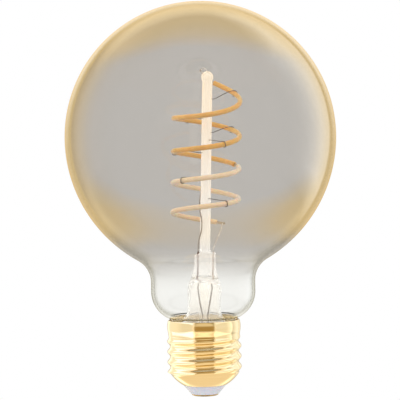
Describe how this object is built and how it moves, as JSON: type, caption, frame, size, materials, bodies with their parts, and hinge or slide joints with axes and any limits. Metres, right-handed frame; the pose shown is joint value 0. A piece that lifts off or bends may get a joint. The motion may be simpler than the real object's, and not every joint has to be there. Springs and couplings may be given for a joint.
{
  "type": "smart light bulb",
  "caption": "Round globe bulb of gold-tinted clear glass with a spiral filament on a glass stem, on a gold-plated screw cap with a white insulator.",
  "frame": {"origin": "centre of the centre contact's flat face, the bulb's lowest point", "axes": "+Z along the bulb's axis from the cap to the globe, -Y towards the front view"},
  "size_m": [0.095, 0.095, 0.138],
  "materials": {
    "amber_glass": "clear glass with a thin gold coating that fades out at the neck",
    "clear_glass": "clear fire-polished glass",
    "amber_silicone": "deep amber phosphor silicone",
    "peach_silicone": "pale peach phosphor silicone",
    "carrier_metal": "bright stamped strip",
    "led_chip": "polished sapphire chip",
    "tab_metal": "plated strip",
    "support_wire": "drawn molybdenum wire",
    "nickel_wire": "drawn nickel wire",
    "dumet_wire": "copper-clad sealing wire, borated red-brown",
    "copper_wire": "plated copper wire",
    "gold_shell": "gold-plated rolled shell",
    "white_insulator": "fired white glass",
    "contact_brass": "gold-plated contact",
    "cement": "baked capping cement",
    "liner_plastic": "thin white plastic",
    "green_board": "solder-masked board",
    "blue_board": "solder-masked board",
    "ferrule_metal": "tinned brass",
    "solder": "bright solder",
    "insulated_wire": "tinned copper wire",
    "can_metal": "tin-plated shield",
    "black_package": "moulded chip package",
    "crystal_metal": "lidded crystal",
    "antenna_ceramic": "white ceramic",
    "pin_metal": "gold-plated pin",
    "capacitor_sleeve": "shrink-sleeved aluminium can",
    "bung_rubber": "moulded rubber",
    "leg_metal": "tinned wire",
    "ferrite": "sintered ferrite",
    "enamelled_copper": "enamelled copper wire",
    "resistor_coat": "flameproof coating",
    "chip_ceramic": "small ceramic chips"
  },
  "bodies": {
    "root": {"glass_envelope": "amber_glass", "stem_flare": "clear_glass", "exhaust_tube": "clear_glass", "glass_post": "clear_glass", "upper_phosphor_coat": "amber_silicone", "upper_filament_carrier": "carrier_metal", "upper_led_chips": "led_chip", "lower_phosphor_coat": "peach_silicone", "lower_filament_carrier": "carrier_metal", "lower_led_chips": "led_chip", "filament_end_tabs": "tab_metal", "support_wires": "support_wire", "anchor_wire": "nickel_wire", "left_inner_lead": "nickel_wire", "right_inner_lead": "nickel_wire", "dumet_wires": "dumet_wire", "outer_leads": "copper_wire", "screw_shell": "gold_shell", "base_insulator": "white_insulator", "centre_contact": "contact_brass", "capping_cement": "cement", "insulating_liner": "liner_plastic", "driver_board": "green_board", "lead_ferrules": "ferrule_metal", "solder_joints": "solder", "side_feed_wire": "insulated_wire", "centre_feed_wire": "insulated_wire", "radio_board": "blue_board", "radio_shield_can": "can_metal", "radio_chip": "black_package", "clock_crystal": "crystal_metal", "chip_antenna": "antenna_ceramic", "header_pins": "pin_metal", "capacitor_can": "capacitor_sleeve", "capacitor_bung": "bung_rubber", "capacitor_legs": "leg_metal", "choke_core": "ferrite", "choke_winding": "enamelled_copper", "bridge_rectifier": "black_package", "driver_chip": "black_package", "fusible_resistor": "resistor_coat", "resistor_legs": "leg_metal", "chip_resistors_and_capacitors": "chip_ceramic"}
  },
  "joints": []
}
